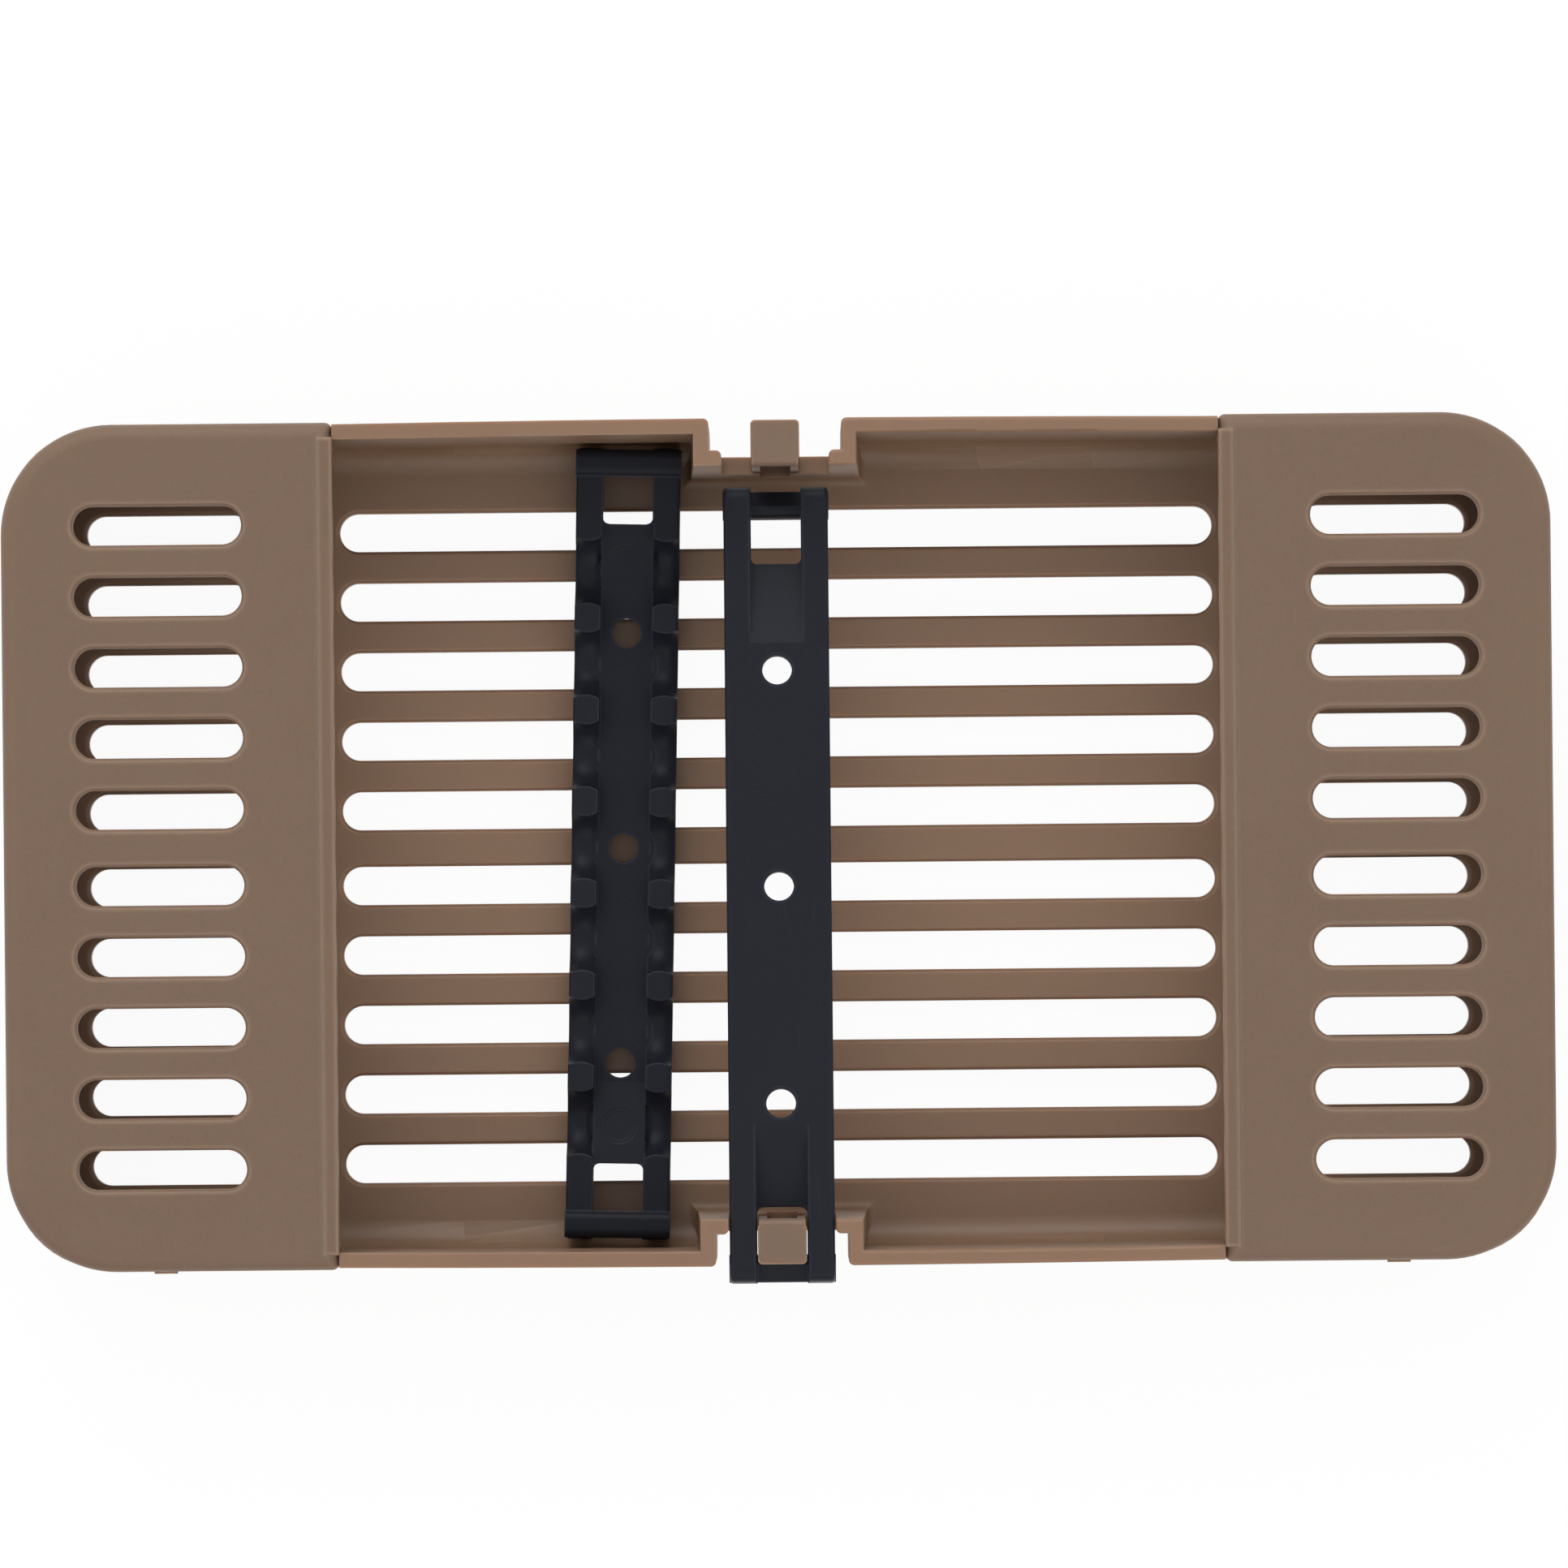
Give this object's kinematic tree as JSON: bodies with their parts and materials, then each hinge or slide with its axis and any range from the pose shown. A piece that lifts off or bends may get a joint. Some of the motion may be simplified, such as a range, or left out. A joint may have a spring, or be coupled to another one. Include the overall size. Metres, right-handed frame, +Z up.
{
  "type": "dental instrument cassette",
  "caption": "Slotted plastic tray that holds dental instruments for cleaning and storage, with covered ends for the tips, springy latches and hinged handle rails.",
  "frame": {"origin": "middle of the tray's underside", "axes": "+X along the length to the right-hand cover, +Y across the width to the rear latch, +Z up"},
  "size_m": [0.2032, 0.1135, 0.0286],
  "materials": {
    "tan_plastic": "fine matt moulded resin",
    "charcoal_plastic": "satin moulded resin"
  },
  "bodies": {
    "cassette": {"tray": "tan_plastic", "left_cover": "tan_plastic", "right_cover": "tan_plastic"},
    "upper_rail": {"upper_rail": "charcoal_plastic"},
    "lower_rail": {"lower_rail": "charcoal_plastic"},
    "front_latch": {"front_latch": "tan_plastic"},
    "rear_latch": {"rear_latch": "tan_plastic"}
  },
  "joints": [
    {"name": "upper_rail_hinge", "type": "hinge", "parent": "cassette", "child": "upper_rail", "pos_m": [0, -0.056, 0.02325], "axis": [1, 0, 0], "range_deg": [0, 105]},
    {"name": "lower_rail_slide", "type": "slide", "parent": "cassette", "child": "lower_rail", "axis": [1, 0, 0], "range_m": [-0.059, 0.0008]},
    {"name": "front_latch_flex", "type": "hinge", "parent": "cassette", "child": "front_latch", "pos_m": [0, -0.05035, 0.011], "axis": [1, 0, 0], "range_deg": [0, 3], "stiffness_Nm_per_rad": 1.6},
    {"name": "rear_latch_flex", "type": "hinge", "parent": "cassette", "child": "rear_latch", "pos_m": [0, 0.05035, 0.011], "axis": [-1, 0, 0], "range_deg": [0, 3], "stiffness_Nm_per_rad": 1.6}
  ]
}
